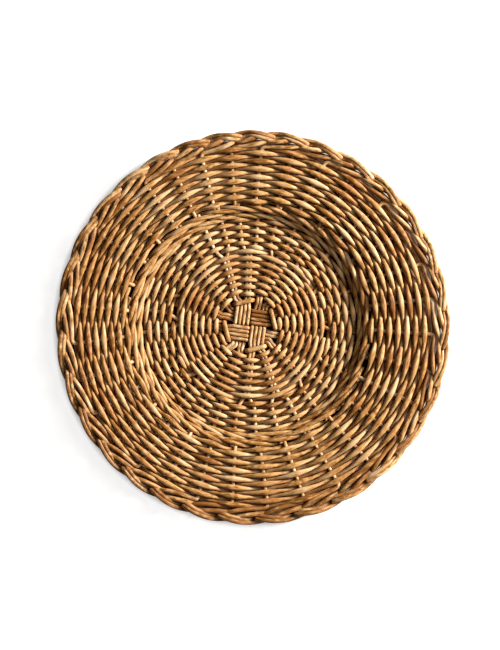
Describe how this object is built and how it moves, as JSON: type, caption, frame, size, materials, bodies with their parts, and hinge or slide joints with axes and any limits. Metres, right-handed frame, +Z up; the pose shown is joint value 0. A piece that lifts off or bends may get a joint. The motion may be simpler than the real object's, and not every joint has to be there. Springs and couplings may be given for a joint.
{
  "type": "charger plate",
  "caption": "Round charger plate woven from rattan reed, with a flat well, a sloping wall, a wide woven rim and a plaited border.",
  "frame": {"origin": "centre of the bounding box at the level of the table the plate stands on", "axes": "+Z up, square to the table; +X to the right and +Y to the back in the view from above"},
  "size_m": [0.3522, 0.3523, 0.0256],
  "materials": {
    "spoke_reed": "satin",
    "weaving_reed": "satin"
  },
  "bodies": {
    "root": {"base_rod_01": "spoke_reed", "base_rod_02": "spoke_reed", "base_rod_03": "spoke_reed", "base_rod_04": "spoke_reed", "base_rod_05": "spoke_reed", "base_rod_06": "spoke_reed", "base_rod_07": "spoke_reed", "base_rod_08": "spoke_reed", "base_rod_09": "spoke_reed", "base_rod_10": "spoke_reed", "base_rod_11": "spoke_reed", "base_rod_12": "spoke_reed", "base_rod_13": "spoke_reed", "base_rod_14": "spoke_reed", "base_rod_15": "spoke_reed", "base_rod_16": "spoke_reed", "tie_weaver": "weaving_reed", "centre_weaver_1": "weaving_reed", "centre_weaver_2": "weaving_reed", "floor_weaver_1": "weaving_reed", "floor_weaver_2": "weaving_reed", "wale_rod_1": "weaving_reed", "wale_rod_2": "weaving_reed", "wale_rod_3": "weaving_reed", "rim_weaver_inner_1": "weaving_reed", "rim_weaver_inner_2": "weaving_reed", "rim_weaver_outer_1": "weaving_reed", "rim_weaver_outer_2": "weaving_reed", "rim_stake_01": "spoke_reed", "rim_stake_02": "spoke_reed", "rim_stake_03": "spoke_reed", "rim_stake_04": "spoke_reed", "rim_stake_05": "spoke_reed", "rim_stake_06": "spoke_reed", "rim_stake_07": "spoke_reed", "rim_stake_08": "spoke_reed", "rim_stake_09": "spoke_reed", "rim_stake_10": "spoke_reed", "rim_stake_11": "spoke_reed", "rim_stake_12": "spoke_reed", "rim_stake_13": "spoke_reed", "rim_stake_14": "spoke_reed", "rim_stake_15": "spoke_reed", "rim_stake_16": "spoke_reed", "rim_stake_17": "spoke_reed", "rim_stake_18": "spoke_reed", "rim_stake_19": "spoke_reed", "rim_stake_20": "spoke_reed", "rim_stake_21": "spoke_reed", "rim_stake_22": "spoke_reed", "rim_stake_23": "spoke_reed", "rim_stake_24": "spoke_reed", "rim_stake_25": "spoke_reed", "rim_stake_26": "spoke_reed", "rim_stake_27": "spoke_reed", "rim_stake_28": "spoke_reed", "rim_stake_29": "spoke_reed", "rim_stake_30": "spoke_reed", "rim_stake_31": "spoke_reed", "rim_stake_32": "spoke_reed"}
  },
  "joints": []
}
